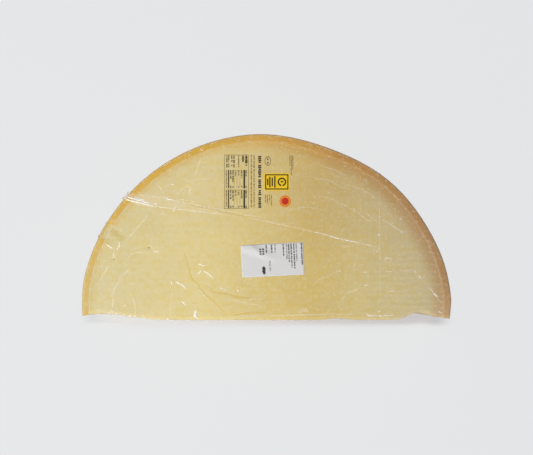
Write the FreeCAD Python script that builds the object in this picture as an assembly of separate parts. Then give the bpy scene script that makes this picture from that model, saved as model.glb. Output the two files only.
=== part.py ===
"""Half wheel of a hard grating cheese, sealed in a clear film, with a paper label on top.

A round wheel is split level at its belly, and the disc is cut in two across its middle. The piece lies on
the wheel's flat plate. Its top is the level cut, where the paste is pressed a little lower than the hard
ring of rind, and its front is the uneven cut across the wheel. The film is one solid with the cheese that
it clings to, and its gathered pleats stand up from the top, the side and the front.

Millimetres, +Z up. X runs along the straight cut and -Y is its open side. The origin is the middle of the
bounding box, on the face that the piece rests on.
"""

import FreeCAD, Part

import math
import os

Vector = FreeCAD.Vector

# The wheel and its level cut
WHEEL_RADIUS = 215.0
PIECE_HEIGHT = 95.0
BARREL_DROP = 6.0  # how much narrower the side is at the plate than at the belly
PLATE_ROUND = 12.0  # the round between the side and the plate
RIM_ROUND = 2.0  # the softened edge between the side and the level cut

# The ring of rind round the pressed paste
RIND_WIDTH = 8.0
RIND_RISE = 0.5
RIND_SLOPE = 1.2  # the width over which the rind falls to the paste

# The cut across the wheel
FRONT_ROUND = 4.0
FRONT_BOW = 1.2  # how far the middle of the cut swells outwards
FRONT_COLUMNS = 44
FRONT_ROWS = 6
ROUND_TURN = 75.0  # degrees that the round turns before it meets the top

# Places where the paste has shrunk or broken back from the cut, as
# (place along X as a share of the wheel's radius, half width, depth, share of the height it reaches down)
FRONT_HOLLOWS = (
    (-0.90, 62.0, 7.0, 0.74),
    (0.83, 27.0, 6.5, 0.58),
    (0.39, 24.0, 1.6, 0.40),
    (0.97, 18.0, 3.0, 0.84),
)

# The film's pleats are ridges with three corners. Their places on the top are polar, as
# (degrees round the wheel from +X, share of the wheel's radius).
PLEAT_SINK = 1.0  # how deep a pleat's foot is rooted
PLEAT_TIP = 0.25  # a pleat's height where it runs out
PLEAT_TIP_WIDTH = 2.0

# The long pleat crosses the top behind the label, from its wide end over its middle to its far end
LONG_PLEAT_WIDE_END = (110.4, 0.616)
LONG_PLEAT_MIDDLE = (89.7, 0.542)
LONG_PLEAT_FAR_END = (33.6, 0.720)

# Pleats that stay on the top, as (start, end, width at the start, width at the end, height at the start)
TOP_PLEATS = (
    (LONG_PLEAT_WIDE_END, LONG_PLEAT_MIDDLE, 5.0, 3.0, 0.8),
    (LONG_PLEAT_MIDDLE, LONG_PLEAT_FAR_END, 2.4, 2.4, 0.6),
)

# Pleats that come over the rim, as
# (place of the inner end, degrees at the rim, width, height, drop down the side)
RIM_PLEATS = (
    (LONG_PLEAT_WIDE_END, 137.5, 12.0, 1.4, 62.0),
    ((155.0, 0.860), 151.0, 18.0, 1.0, 34.0),
    ((38.0, 0.790), 50.0, 4.0, 0.6, 48.0),
)

# Pleats that come over the long front edge, as
# (place along X as a share of the wheel's radius, reach along the top, width, height, drop down the front)
FRONT_PLEATS = (
    (-0.52, 76.0, 3.2, 0.6, 40.0),
    (0.62, 100.0, 3.2, 0.6, 52.0),
)

# The paper label
LABEL_LENGTH = 72.0
LABEL_WIDTH = 37.5
LABEL_THICK = 0.3
LABEL_CORNER = 2.0
LABEL_TURN = 2.9  # degrees
LABEL_X = 8.0
LABEL_TO_PLEAT = 16.3  # along Y, from the label's corner to the long pleat behind it

MARGIN = 20.0  # how far cutting tools reach past what they cut
UP = Vector(0, 0, 1)


def paste_level():
    """Height of the pressed paste on top."""
    return PIECE_HEIGHT - RIND_RISE


def barrel_radius(height):
    """Radius of the wheel's side at a height: a shallow arc that is widest at the level cut."""
    share = (PIECE_HEIGHT - height) / PIECE_HEIGHT
    return WHEEL_RADIUS - BARREL_DROP * share * share


def outward(degrees):
    """The level direction from the wheel's axis at an angle round it."""
    return Vector(math.cos(math.radians(degrees)), math.sin(math.radians(degrees)), 0)


def make_wheel():
    """The lower disc of the whole wheel, spun from half of its section, which starts on the open side."""

    def at(radius, height):
        return Vector(0, -radius, height)

    def round_point(centre, turn_radius, degrees):
        turn = math.radians(degrees)
        return centre + at(math.cos(turn), math.sin(turn)) * turn_radius

    lean = math.degrees(math.atan(2 * BARREL_DROP * (PIECE_HEIGHT - PLATE_ROUND) / PIECE_HEIGHT**2))
    side_foot = PLATE_ROUND * (1 - math.sin(math.radians(lean)))
    side_top = PIECE_HEIGHT - RIM_ROUND
    plate_centre = at(barrel_radius(side_foot) - PLATE_ROUND * math.cos(math.radians(lean)), PLATE_ROUND)
    rim_centre = at(barrel_radius(side_top) - RIM_ROUND, side_top)
    plate_round = [round_point(plate_centre, PLATE_ROUND, d) for d in (-90, -45 - lean / 2, -lean)]
    rim_round = [round_point(rim_centre, RIM_ROUND, d) for d in (0, 45, 90)]
    halfway = (side_foot + side_top) / 2
    edges = [
        Part.makeLine(at(0, 0), plate_round[0]),
        Part.Arc(*plate_round).toShape(),
        Part.Arc(plate_round[-1], at(barrel_radius(halfway), halfway), rim_round[0]).toShape(),
        Part.Arc(*rim_round).toShape(),
        Part.makeLine(rim_round[-1], at(0, PIECE_HEIGHT)),
        Part.makeLine(at(0, PIECE_HEIGHT), at(0, 0)),
    ]
    return Part.Face(Part.Wire(edges)).revolve(at(0, 0), UP, 360)


def bell(distance, half_width):
    """1 at the middle and 0 from half_width on, with a smooth slope between."""
    if abs(distance) >= half_width:
        return 0.0
    return 0.5 * (1 + math.cos(math.pi * distance / half_width))


def front_offset(x, z):
    """How far the cut across the wheel lies inside (+) or outside (-) its middle line."""
    z = min(max(z, 0.0), PIECE_HEIGHT)
    inward = 0.0
    for place, half_width, depth, reach in FRONT_HOLLOWS:
        across = bell(x - place * WHEEL_RADIUS, half_width)
        inward += depth * across * bell(PIECE_HEIGHT - z, reach * PIECE_HEIGHT)
    swell = FRONT_BOW * bell(x, WHEEL_RADIUS) * math.sin(math.pi * z / PIECE_HEIGHT)
    return inward - swell


def front_section(x):
    """Section at a place along X through everything in front of the cut: the front line, then its round."""
    round_foot = PIECE_HEIGHT - FRONT_ROUND * math.sin(math.radians(ROUND_TURN))
    heights = [-MARGIN + (round_foot + MARGIN) * j / FRONT_ROWS for j in range(FRONT_ROWS + 1)]
    front = [Vector(x, front_offset(x, z), z) for z in heights]
    front_line = Part.BSplineCurve()
    front_line.interpolate(front)

    def on_round(degrees):
        turn = math.radians(degrees)
        return front[-1] + Vector(0, 1 - math.cos(turn), math.sin(turn)) * FRONT_ROUND

    round_end = on_round(90)
    outside = -WHEEL_RADIUS - MARGIN
    corners = [
        round_end,
        Vector(x, round_end.y, PIECE_HEIGHT + MARGIN),
        Vector(x, outside, PIECE_HEIGHT + MARGIN),
        Vector(x, outside, -MARGIN),
        front[0],
    ]
    edges = [front_line.toShape(), Part.Arc(front[-1], on_round(45), round_end).toShape()]
    edges += [Part.makeLine(a, b) for a, b in zip(corners, corners[1:])]
    return Part.Wire(edges)


def make_front_tool():
    """Everything in front of the uneven cut, with the long top edge left round."""
    half = WHEEL_RADIUS + MARGIN
    places = [-half + 2 * half * i / FRONT_COLUMNS for i in range(FRONT_COLUMNS + 1)]
    return Part.makeLoft([front_section(x) for x in places], True, True)


def press_paste(solid):
    """Lowers the paste inside the ring of rind."""
    foot_radius = WHEEL_RADIUS - RIND_WIDTH - RIND_SLOPE
    tall = RIND_RISE + MARGIN
    spread = RIND_SLOPE / RIND_RISE
    tool = Part.makeCone(foot_radius, foot_radius + spread * tall, tall, Vector(0, 0, paste_level()))
    return solid.cut(tool)


def on_top(degrees, share):
    """A point of the pressed paste at an angle round the wheel and a share of its radius."""
    return outward(degrees) * (share * WHEEL_RADIUS) + UP * paste_level()


def loft_pleat(side, stations):
    """A ridge with three corners through stations of (point on the surface, way out, width, height)."""
    sections = []
    for point, out, width, height in stations:
        foot = point - out * PLEAT_SINK
        half = side * (width / 2)
        sections.append(Part.makePolygon([foot - half, point + out * height, foot + half, foot - half]))
    return Part.makeLoft(sections, True, True)


def make_top_pleat(start, end, start_width, end_width, start_height, end_height=PLEAT_TIP):
    """A pleat that lies along the top, from one point of it to another."""
    side = (end - start).cross(UP).normalize()
    return loft_pleat(side, [(start, UP, start_width, start_height), (end, UP, end_width, end_height)])


def make_turned_pleat(centre, turn_radius, out, side, width, height, low_end):
    """A pleat that turns down over a round edge and dies out below it."""
    stations = []
    for degrees in (0, 45, 90):
        turn = math.radians(degrees)
        way_out = UP * math.cos(turn) + out * math.sin(turn)
        stations.append((centre + way_out * turn_radius, way_out, width, height))
    stations.append((low_end, out, PLEAT_TIP_WIDTH, PLEAT_TIP))
    return loft_pleat(side, stations)


def make_rim_pleat(inner, degrees, width, height, drop):
    """The two runs of a pleat that comes out to the rim and goes on down the side."""
    out = outward(degrees)
    centre = out * (WHEEL_RADIUS - RIM_ROUND) + UP * (PIECE_HEIGHT - RIM_ROUND)
    low_end = out * barrel_radius(PIECE_HEIGHT - drop) + UP * (PIECE_HEIGHT - drop)
    side = UP.cross(out)
    return [
        make_top_pleat(centre + UP * RIM_ROUND, on_top(*inner), width, PLEAT_TIP_WIDTH, height),
        make_turned_pleat(centre, RIM_ROUND, out, side, width, height, low_end),
    ]


def make_front_pleat(place, reach, width, height, drop):
    """The two runs of a pleat that comes straight to the long front edge and goes on down the front."""
    x = place * WHEEL_RADIUS
    out = Vector(0, -1, 0)
    centre = Vector(x, front_offset(x, PIECE_HEIGHT) + FRONT_ROUND, PIECE_HEIGHT - FRONT_ROUND)
    brow = Vector(x, centre.y, paste_level())
    low_end = Vector(x, front_offset(x, PIECE_HEIGHT - drop), PIECE_HEIGHT - drop)
    return [
        make_top_pleat(brow, brow + Vector(0, reach, 0), width, PLEAT_TIP_WIDTH, height),
        make_turned_pleat(centre, FRONT_ROUND, out, Vector(1, 0, 0), width, height, low_end),
    ]


def make_wrapped_cheese():
    """The half wheel in its film."""
    body = press_paste(make_wheel().cut(make_front_tool()))
    pleats = [
        make_top_pleat(on_top(*start), on_top(*end), start_width, end_width, height)
        for start, end, start_width, end_width, height in TOP_PLEATS
    ]
    for pleat in RIM_PLEATS:
        pleats += make_rim_pleat(*pleat)
    for pleat in FRONT_PLEATS:
        pleats += make_front_pleat(*pleat)
    for pleat in pleats:
        body = body.fuse(pleat)
    return body.removeSplitter()


def label_place():
    """The label's centre, with its far corner a set way in front of the long pleat."""
    turn = math.radians(LABEL_TURN)
    half_length, half_width = LABEL_LENGTH / 2, LABEL_WIDTH / 2
    corner_x = half_length * math.cos(turn) - half_width * math.sin(turn)
    corner_y = half_length * math.sin(turn) + half_width * math.cos(turn)
    start, end = on_top(*LONG_PLEAT_MIDDLE), on_top(*LONG_PLEAT_FAR_END)
    slope = (end.y - start.y) / (end.x - start.x)
    pleat_y = start.y + slope * (LABEL_X + corner_x - start.x)
    return Vector(LABEL_X, pleat_y - LABEL_TO_PLEAT - corner_y, paste_level())


def make_label():
    """The paper label, lying on the paste and turned a little."""
    corner = Vector(-LABEL_LENGTH / 2, -LABEL_WIDTH / 2, 0)
    plate = Part.makeBox(LABEL_LENGTH, LABEL_WIDTH, LABEL_THICK, corner)
    upright = [edge for edge in plate.Edges if edge.BoundBox.ZLength > LABEL_THICK / 2]
    plate = plate.makeFillet(LABEL_CORNER, upright)
    plate.rotate(Vector(0, 0, 0), UP, LABEL_TURN)
    plate.translate(label_place())
    return plate


def tight_box(shape):
    """The bounding box that the shape itself fills."""
    return shape.optimalBoundingBox(False, False)


def main():
    parts = {"wrapped_cheese": make_wrapped_cheese(), "label": make_label()}
    centre = tight_box(parts["wrapped_cheese"]).Center
    os.makedirs("parts", exist_ok=True)
    for node, shape in parts.items():
        shape.translate(Vector(-centre.x, -centre.y, 0))
        shape.exportStep(f"parts/{node}.step")
        size = tight_box(shape)
        print(
            f"{node}: {len(shape.Solids)} solid, valid {shape.isValid()}, "
            f"{size.XLength:.1f} x {size.YLength:.1f} x {size.ZLength:.1f} mm, {shape.Volume / 1000:.0f} cm3"
        )


main()
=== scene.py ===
"""A half wheel of hard grating cheese in its vacuum film, with printed film and a paper label.

The file is a Blender add-on that is run as a script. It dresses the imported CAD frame: the cheese, its film
with pleats and creases, the ink on the film, the label, and a plain studio.

Lengths are metres, and millimetres in the lists of creases and on the printed pages. Shapes are laid out in
the wheel's own plan: x along the straight cut, y from the wheel's middle line towards the round side, z up
from the plate.
"""

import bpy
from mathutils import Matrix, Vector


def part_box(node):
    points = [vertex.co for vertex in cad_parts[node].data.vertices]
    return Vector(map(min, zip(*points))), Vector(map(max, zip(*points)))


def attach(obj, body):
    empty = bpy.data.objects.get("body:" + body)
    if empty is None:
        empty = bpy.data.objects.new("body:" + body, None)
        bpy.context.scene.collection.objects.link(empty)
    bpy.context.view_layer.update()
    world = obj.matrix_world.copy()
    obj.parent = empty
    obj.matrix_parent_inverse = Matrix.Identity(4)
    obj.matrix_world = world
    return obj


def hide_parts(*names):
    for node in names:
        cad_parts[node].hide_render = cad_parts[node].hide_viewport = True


bl_info = {
    "name": "Wrapped Half Wheel",
    "version": (1, 0, 0),
    "blender": (4, 5, 0),
    "location": "3D View > Sidebar > Half Wheel",
    "description": "Makes a wrapped half wheel of hard cheese around its CAD frame",
    "category": "Object",
}

import math
import random

import bmesh
import bpy
from mathutils import Matrix, Vector, noise

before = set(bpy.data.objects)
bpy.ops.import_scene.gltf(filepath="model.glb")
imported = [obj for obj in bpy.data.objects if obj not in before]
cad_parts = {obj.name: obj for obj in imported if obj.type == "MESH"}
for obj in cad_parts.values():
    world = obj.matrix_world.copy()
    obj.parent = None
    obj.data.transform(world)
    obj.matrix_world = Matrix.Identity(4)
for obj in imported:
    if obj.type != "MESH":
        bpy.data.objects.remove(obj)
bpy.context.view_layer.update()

CHEESE_LOW, CHEESE_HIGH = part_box("wrapped_cheese")
LABEL_LOW, LABEL_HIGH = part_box("label")
WHEEL_RADIUS = (CHEESE_HIGH.x - CHEESE_LOW.x) / 2
AXIS = Vector(((CHEESE_LOW.x + CHEESE_HIGH.x) / 2, CHEESE_HIGH.y - WHEEL_RADIUS, 0))
PASTE_LEVEL = LABEL_LOW.z
LABEL_MIDDLE = (LABEL_LOW + LABEL_HIGH) / 2 - AXIS
MM = 0.001
UP = Vector((0, 0, 1))


def srgb(red, green, blue):
    """A screen colour, from 0 to 255, as the linear colour that sockets and properties hold."""

    def linear(value):
        share = value / 255
        return share / 12.92 if share <= 0.04045 else ((share + 0.055) / 1.055) ** 2.4

    return (linear(red), linear(green), linear(blue))


def colour_property(name, description, default):
    return bpy.props.FloatVectorProperty(
        name=name, description=description, default=default, size=3, min=0, max=1, subtype="COLOR"
    )


def length_property(name, description, default):
    return bpy.props.FloatProperty(
        name=name,
        description=description,
        default=default,
        min=0,
        unit="LENGTH",
        subtype="DISTANCE",
        precision=5,
    )


def count_property(name, description, default, lowest):
    return bpy.props.IntProperty(name=name, description=description, default=default, min=lowest)


def factor_property(name, description, default, highest=1):
    return bpy.props.FloatProperty(
        name=name, description=description, default=default, min=0, max=highest, subtype="FACTOR"
    )


# ---------------------------------------------------------------------------
# Sizes and colours that a user would change


class HalfWheelSizes(bpy.types.PropertyGroup):
    """Sizes of the cheese and its film"""

    rind_width: length_property("Rind Width", "Width of the hard ring of rind round the paste", 8.0 * MM)
    rind_rise: length_property("Rind Rise", "How far the rind stands above the pressed paste", 0.5 * MM)
    rim_round: length_property("Rim Round", "Softened edge between the side and the top", 2.0 * MM)
    plate_round: length_property("Plate Round", "Round between the side and the plate", 12.0 * MM)
    front_round: length_property("Front Round", "Softened long edge of the straight cut", 4.0 * MM)
    barrel_drop: length_property("Barrel Drop", "How much narrower the side is at the plate", 6.0 * MM)
    film_gap: length_property("Film Gap", "Film and air between the cheese and the outside", 0.35 * MM)
    rings: count_property("Rings", "Rings of faces across the top", 104, 12)
    layers: count_property("Layers", "Layers of faces down the side", 84, 8)
    film_rings: count_property("Film Rings", "Rings of the film", 88, 12)
    film_layers: count_property("Film Layers", "Layers of the film", 44, 8)


class LabelSizes(bpy.types.PropertyGroup):
    """Sizes of the paper label"""

    length: length_property("Length", "Long side", 72.0 * MM)
    width: length_property("Width", "Short side", 37.5 * MM)
    corner: length_property("Corner", "Radius of the rounded corners", 2.0 * MM)
    paper: length_property("Paper", "Thickness of the paper", 0.15 * MM)
    buckle: length_property("Buckle", "Height of the slight wave in the paper", 1.7 * MM)
    turn: bpy.props.FloatProperty(
        name="Turn", description="Turn against the straight cut", default=math.radians(2.9), subtype="ANGLE"
    )


class CheeseColours(bpy.types.PropertyGroup):
    """Colours of paste and rind"""

    paste_left: colour_property("Left Paste", "Cut paste at the left end", srgb(209, 194, 141))
    paste: colour_property("Paste", "The palest cut paste", srgb(221, 203, 143))
    paste_heart: colour_property("Heart", "The yellowest paste, right of the middle", srgb(209, 184, 113))
    # The last two paste colours hold painted shade: the paste grows darker and duller towards the right end,
    # away from the near lamp
    paste_dull_shaded: colour_property("Dry Paste", "Duller paste towards the right end", srgb(208, 190, 136))
    paste_right: colour_property("Right Paste", "Cut paste at the right end", srgb(200, 183, 141))
    crystal: colour_property("Crystal", "Pale grains in the paste", srgb(228, 216, 178))
    rind_pale: colour_property("Pale Rind", "Rind at the pale end", srgb(204, 174, 90))
    rind_gold: colour_property("Golden Rind", "Rind at its most golden", srgb(211, 167, 56))
    rind_crown: colour_property("Crown Rind", "Rind at the crown", srgb(208, 159, 64))
    rind_amber: colour_property("Amber Rind", "Rind at its darkest amber", srgb(184, 134, 60))
    rind_brown: colour_property("Brown Rind", "Rind by the dark end", srgb(170, 127, 76))
    rind_end: colour_property("End Rind", "Rind at the very end of the cut on the right", srgb(192, 154, 106))
    # Painted shade inside the small holes
    pit_shade: colour_property("Pit", "Dark inside of a small hole", srgb(150, 112, 56))


class FilmLook(bpy.types.PropertyGroup):
    """Look of the clear film"""

    cover: factor_property("Cover", "Share of light that the flat film throws back", 0.025)
    haze: factor_property("Haze", "Further share where the film lies loose", 0.10)
    roughness: factor_property("Roughness", "Roughness of the film's shine", 0.16)
    crease_cover: factor_property("Crease Cover", "Share of light that a crease throws back", 0.55)
    # Also the colour of the painted highlights on folds and glints
    crease_white_and_highlight: colour_property("Crease White", "Stretched and folded film", srgb(242, 238, 230))
    fold_shade: colour_property("Fold Shade", "Paste through the shaded foot of a fold", srgb(208, 181, 90))


class PrintColours(bpy.types.PropertyGroup):
    """Colours of the print and the label"""

    ink: colour_property("Ink", "Dark ink on the film", srgb(44, 34, 18))
    fine_ink: colour_property("Fine Ink", "Thin lines of small print", srgb(112, 88, 44))
    badge: colour_property("Badge", "Yellow of the badge", srgb(238, 198, 22))
    badge_ink: colour_property("Badge Ink", "Black on the badge", srgb(16, 13, 6))
    seal: colour_property("Seal", "Outer ring of the round seal", srgb(220, 108, 30))
    seal_line: colour_property("Seal Line", "Thin ring of the round seal", srgb(236, 170, 44))
    seal_heart: colour_property("Seal Heart", "Middle of the round seal", srgb(190, 38, 22))
    label: colour_property("Label", "Label paper", srgb(217, 216, 214))
    label_ink: colour_property("Label Ink", "Print on the label", srgb(34, 34, 36))


class StudioSet(bpy.types.PropertyGroup):
    """Camera, lamps and floor"""

    backdrop: colour_property("Backdrop", "Floor and background", srgb(230, 231, 232))
    floor_glow: factor_property("Floor Glow", "Share of the floor that takes no shadow", 0.9)
    camera_rise: length_property("Camera Rise", "Height of the camera above the cheese", 2.4)
    view_width: length_property("View Width", "Width of the picture at the cheese's top", 613.1 * MM)
    key_share: factor_property("Key Share", "Light on the cheese's middle from the near lamp", 0.45, 4)
    top_share: factor_property("Top Share", "Light on the cheese's middle from the lamp above", 0.26, 4)
    fill_share: factor_property("Fill Share", "Light on the cheese's middle from each low lamp", 0.045, 4)
    sky: factor_property("Sky", "Strength of the even light from all round", 0.2, 4)
    gleam: factor_property("Gleam", "Strength of what the film mirrors", 0.95, 4)


# ---------------------------------------------------------------------------
# The wrapped shape, in the wheel's own plan

RIM_CROWDING = 0.05
FRONT_CROWDING = 0.03
LAYER_CROWDING = 0.105
FADE_REACH = 60 * MM  # how far from the cut its unevenness dies out

# Hollows of the cut, as (share of the radius along X, half width, depth, share of the height reached down)
FRONT_HOLLOWS = (
    (-0.90, 72 * MM, 7.2 * MM, 1.8),
    (-0.65, 17 * MM, 0.9 * MM, 1.4),
    (0.83, 29 * MM, 9.0 * MM, 1.8),
    (0.39, 24 * MM, 1.6 * MM, 1.4),
    (0.97, 18 * MM, 3.0 * MM, 1.8),
)
FRONT_BOW = 1.2 * MM  # how far the cut swells out half way up
TIP_SWELL = 1.1 * MM  # how far the cut stands out at its two tips
TIP_FADE = (5 * MM, 11 * MM)  # distances from the tip between which that dies out
TIP_FOOT = 30 * MM  # height below which that dies out

# Stretches where the side lies inside the plain round, or outside it where the depth is below 0, as
# (middle in degrees from the right end, half angle, depth)
FLATS = ((70, 26, 3.6 * MM), (180, 14, 3.3 * MM), (17, 16, -1.0 * MM), (0, 7, 2.8 * MM))

# Distances from an edge at which the unevenness of a face is full
TOP_CALM = 3 * MM
WALL_CALM = 4 * MM


def bell(distance, half_width):
    """1 at the middle and 0 from half_width on, with a smooth slope between."""
    if abs(distance) >= half_width:
        return 0.0
    return 0.5 * (1 + math.cos(math.pi * distance / half_width))


def smooth(low, high, value):
    """0 below low and 1 above high, with a smooth slope between."""
    share = min(max((value - low) / (high - low), 0.0), 1.0)
    return share * share * (3 - 2 * share)


def crowd(share, crowding):
    """Draws evenly spaced shares together towards 0 and leaves 0 and 1 where they are."""
    return share * share * (1 + crowding) / (share + crowding)


def ripple(x, y, size, seed):
    """Smooth noise from -1 to 1 with bumps about size across."""
    return noise.noise(Vector((x / size, y / size, seed)))


def round_drop(inside, radius):
    """How far a quarter-round edge falls at a distance inside the edge."""
    if inside >= radius:
        return 0.0
    return radius - math.sqrt(max(radius**2 - (radius - inside) ** 2, 0.0))


def flat_depth(angle):
    """How far the side lies inside the plain round at an angle in degrees."""
    total = 0.0
    for middle, half_angle, depth in FLATS:
        total += depth * (1 - smooth(0, half_angle, abs(angle - middle)))
    return total


def turn_of(x, y):
    """Angle round the side in degrees, from the right end."""
    return math.degrees(math.atan2(max(y, 0.0), x))


def from_rim(x, y, radius=WHEEL_RADIUS):
    """Distance inside the rim."""
    return radius - flat_depth(turn_of(x, y)) - math.hypot(x, y)


class Shape:
    """The half wheel's outer faces, drawn in by a gap."""

    def __init__(self, sizes, gap):
        self.sizes = sizes
        self.gap = gap
        self.brim = PASTE_LEVEL + sizes.rind_rise - gap
        self.radius = WHEEL_RADIUS - gap

    def side_radius(self, z):
        """Radius of the side at a height, with its round into the plate."""
        sizes = self.sizes
        share = (self.brim - z) / self.brim
        radius = self.radius - sizes.barrel_drop * share * share
        return radius - round_drop(max(z - self.gap, 0.0), sizes.plate_round)

    def front_line(self, x, z):
        """Place of the uneven cut across from the wheel's middle line."""
        height = PASTE_LEVEL + self.sizes.rind_rise
        inward = 0.0
        for place, half_width, depth, reach in FRONT_HOLLOWS:
            across = bell(x - place * WHEEL_RADIUS, half_width)
            inward += depth * across * bell(height - z, reach * height)
        end = WHEEL_RADIUS - abs(x)
        inward -= TIP_SWELL * (1 - smooth(*TIP_FADE, end)) * smooth(0, TIP_FOOT, z)
        swell = FRONT_BOW * bell(x, WHEEL_RADIUS) * math.sin(math.pi * min(max(z / height, 0), 1))
        return inward - swell + self.gap

    def fit_to_cut(self, x, y, z, radius):
        """Moves a point of the plain half disc to where the uneven cut leaves it."""
        shift = self.front_line(x, z) * max(0.0, 1 - y / FADE_REACH) ** 2
        fitted_y = y + shift
        room = max(radius**2 - y**2, 1e-12)
        fitted_x = x * math.sqrt(max(radius**2 - fitted_y**2, 0.0) / room)
        flat = flat_depth(turn_of(fitted_x, fitted_y))
        share = 1 - flat / radius * ((fitted_x**2 + fitted_y**2) / radius**2)
        return fitted_x * share, fitted_y * share

    def paste_press(self, inside):
        """How far the top lies below the rind at a distance inside the rim."""
        width = self.sizes.rind_width
        return self.sizes.rind_rise * smooth(width - 0.2 * MM, width + 1.4 * MM, inside)

    def top_height(self, x, y):
        """Height of the top at a fitted point, with its rounds and the ring of rind."""
        inside = max(from_rim(x, y, self.radius), 0.0)
        from_cut = max(y - self.front_line(x, self.brim), 0.0)
        drop = round_drop(inside, self.sizes.rim_round) + round_drop(from_cut, self.sizes.front_round)
        return self.brim - drop - self.paste_press(inside)


def disc_place(a, b):
    """The point of the unit half disc for a point of the grid from (-1, 0) to (1, 1)."""
    if b < abs(a):
        turn = crowd(b / abs(a), FRONT_CROWDING) * math.pi / 4
        share, angle = abs(a), turn if a > 0 else math.pi - turn
    elif b > 0:
        share, angle = b, math.pi / 2 - (a / b) * math.pi / 4
    else:
        share, angle = 0.0, 0.0
    reach = 1 - crowd(1 - share, RIM_CROWDING)
    return reach * math.cos(angle), reach * math.sin(angle)


def half_disc_template(rings, layers):
    """A flat grid whose border is drawn down in layers and closed below, and each vertex's layer."""
    shell = bmesh.new()
    level = shell.verts.layers.int.new("level")
    bmesh.ops.create_grid(shell, x_segments=2 * rings, y_segments=rings, size=1)
    halve = Matrix.Translation((0, 0.5, 0)) @ Matrix.Diagonal((1, 0.5, 1, 1))
    bmesh.ops.transform(shell, matrix=halve, verts=shell.verts)
    for i in range(1, layers + 1):
        border = [edge for edge in shell.edges if edge.is_boundary]
        drawn = bmesh.ops.extrude_edge_only(shell, edges=border)["geom"]
        for vertex in drawn:
            if isinstance(vertex, bmesh.types.BMVert):
                vertex[level] = i
    rest = [edge for edge in shell.edges if edge.is_boundary]
    bmesh.ops.contextual_create(shell, geom=rest)
    return shell, level


def layer_share(i, layers):
    """Share of the way down the side at a layer, closer together under the top and over the plate."""
    share = i / layers
    return share - LAYER_CROWDING * math.sin(2 * math.pi * share)


def wrap_shape(shell, level, shape, layers, top_relief, wall_relief):
    """Gives a template the half wheel's form. Reliefs return how far a point stands out."""
    for vertex in shell.verts:
        unit_x, unit_y = disc_place(vertex.co.x, vertex.co.y)
        x, y = shape.fit_to_cut(unit_x * shape.radius, unit_y * shape.radius, shape.brim, shape.radius)
        top = shape.top_height(x, y)
        if vertex[level] == 0:
            from_edge = min(from_rim(x, y, shape.radius), y - shape.front_line(x, shape.brim))
            lift = top_relief(x, y) * smooth(0, TOP_CALM, from_edge)
            vertex.co = AXIS + Vector((x, y, top + lift))
            continue
        z = shape.gap + (top - shape.gap) * (1 - layer_share(vertex[level], layers))
        radius = shape.side_radius(z)
        x, y = shape.fit_to_cut(unit_x * radius, unit_y * radius, z, radius)
        on_front = unit_y < 1e-6
        out = Vector((0, -1, 0)) if on_front else Vector((x, y, 0)).normalized()
        from_edge = radius - abs(x) if on_front else y - shape.front_line(x, z)
        calm = smooth(0, WALL_CALM, top - z) * smooth(0, TOP_CALM, z) * smooth(0, WALL_CALM, from_edge)
        vertex.co = AXIS + Vector((x, y, z)) + out * (wall_relief(x, y, z, on_front) * calm)
    bmesh.ops.recalc_face_normals(shell, faces=shell.faces)


# ---------------------------------------------------------------------------
# Pieces


def add_object(name, data):
    """Adds an object that holds a mesh, a lamp or a camera to the scene."""
    holder = bpy.data.objects.new(name, data)
    bpy.context.scene.collection.objects.link(holder)
    return holder


def add_mesh(shell, name, material):
    """Turns a bmesh into an object of the scene."""
    mesh = bpy.data.meshes.new(name)
    shell.to_mesh(mesh)
    shell.free()
    mesh.materials.append(material)
    return add_object(name, mesh)


def finish_piece(shell, name, material, smooth_faces=True):
    """Turns a bmesh, whose faces point outwards, into a piece that rides on the cheese's body."""
    piece = add_mesh(shell, name, material)
    for polygon in piece.data.polygons:
        polygon.use_smooth = smooth_faces
    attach(piece, "root")
    return piece


def finish_sheets(shell, name, material):
    """Finishes open sheets of film, which are laid facing inwards and turned outwards here."""
    bmesh.ops.reverse_faces(shell, faces=shell.faces)
    finish_piece(shell, name, material)


DOT_PITCH = 9.5 * MM
DOT_RADIUS = 2.2 * MM
DOT_DEPTH = 0.7 * MM
DOT_ROWS = 7
LOWEST_DOTS = 15 * MM
PITS = ((-134.4 * MM, 83.6 * MM, 1.5 * MM), (-175 * MM, 70.5 * MM, 1.2 * MM))
WIRE_PITCH = 7.0 * MM


def wire_marks(x, y):
    """The wavy lines that the cutting wire left, strongest towards the right end, from -1 to 1."""
    wander = 4.2 * MM * ripple(x, y, 38 * MM, 3.0)
    strength = 0.2 + 0.8 * smooth(90 * MM, 160 * MM, x) * (1 - smooth(60 * MM, 120 * MM, y))
    return strength * math.sin(2 * math.pi * (y + wander) / WIRE_PITCH)


CHIP_MIDDLE = 150.8  # degrees from the right end
CHIP_HALF_ANGLE = 2.5
CHIP_DEPTH = 0.7 * MM
PASTE_SINK = 0.2 * MM  # keeps the uneven paste below the film


def rim_chip(x, y):
    """1 where a flake of rind is broken off the rim's inner part, else 0."""
    turn = math.degrees(math.atan2(y, x))
    inside = from_rim(x, y)
    along = 1 - smooth(CHIP_HALF_ANGLE - 0.8, CHIP_HALF_ANGLE + 0.6, abs(turn - CHIP_MIDDLE))
    return along * smooth(2.2 * MM, 3.8 * MM, inside) * (1 - smooth(9 * MM, 28 * MM, inside))


def paste_relief(x, y):
    """Unevenness of the level cut."""
    height = 0.25 * MM * ripple(x, y, 70 * MM, 1.0) + 0.12 * MM * ripple(x, y, 14 * MM, 2.0)
    height += 0.07 * MM * wire_marks(x, y)
    for pit_x, pit_y, radius in PITS:
        height -= 1.2 * MM * bell(math.hypot(x - pit_x, y - pit_y), 1.8 * radius)
    return height - PASTE_SINK - CHIP_DEPTH * rim_chip(x, y)


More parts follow.
